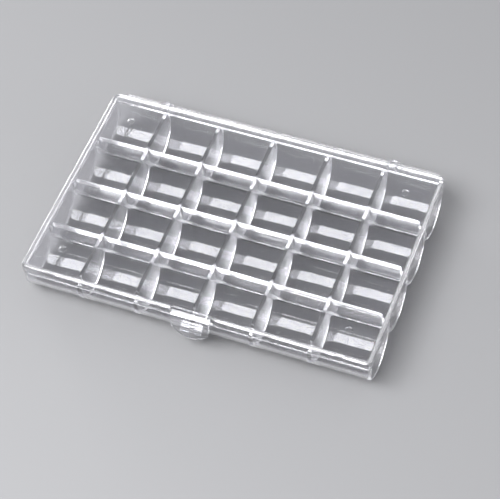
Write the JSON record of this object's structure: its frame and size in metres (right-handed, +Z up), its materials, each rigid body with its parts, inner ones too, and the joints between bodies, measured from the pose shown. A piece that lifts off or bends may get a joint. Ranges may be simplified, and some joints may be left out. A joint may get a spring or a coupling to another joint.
{
  "type": "bobbin box",
  "caption": "Clear plastic sewing-bobbin box: U-shaped troughs crossed by thin dividers make open cells under a flat hinged lid with a bent-down latch tab.",
  "frame": {"origin": "on the standing plane, under the middle of the whole shut box with its latch tab and hinge ledge", "axes": "+X along the box, +Y towards the hinge, +Z up; the latch tab is at -Y"},
  "size_m": [0.1812, 0.1284, 0.024],
  "materials": {
    "tray_plastic": "clear crystal polystyrene, polished mould surface",
    "lid_plastic": "clear crystal polystyrene, polished mould surface"
  },
  "bodies": {
    "tray": {"tray": "tray_plastic", "column_dividers": "tray_plastic"},
    "lid": {"lid": "lid_plastic"}
  },
  "joints": [
    {"name": "lid_hinge", "type": "hinge", "parent": "tray", "child": "lid", "pos_m": [0, 0.06323, 0.0197], "axis": [-1, 0, 0], "range_deg": [0, 180]}
  ]
}
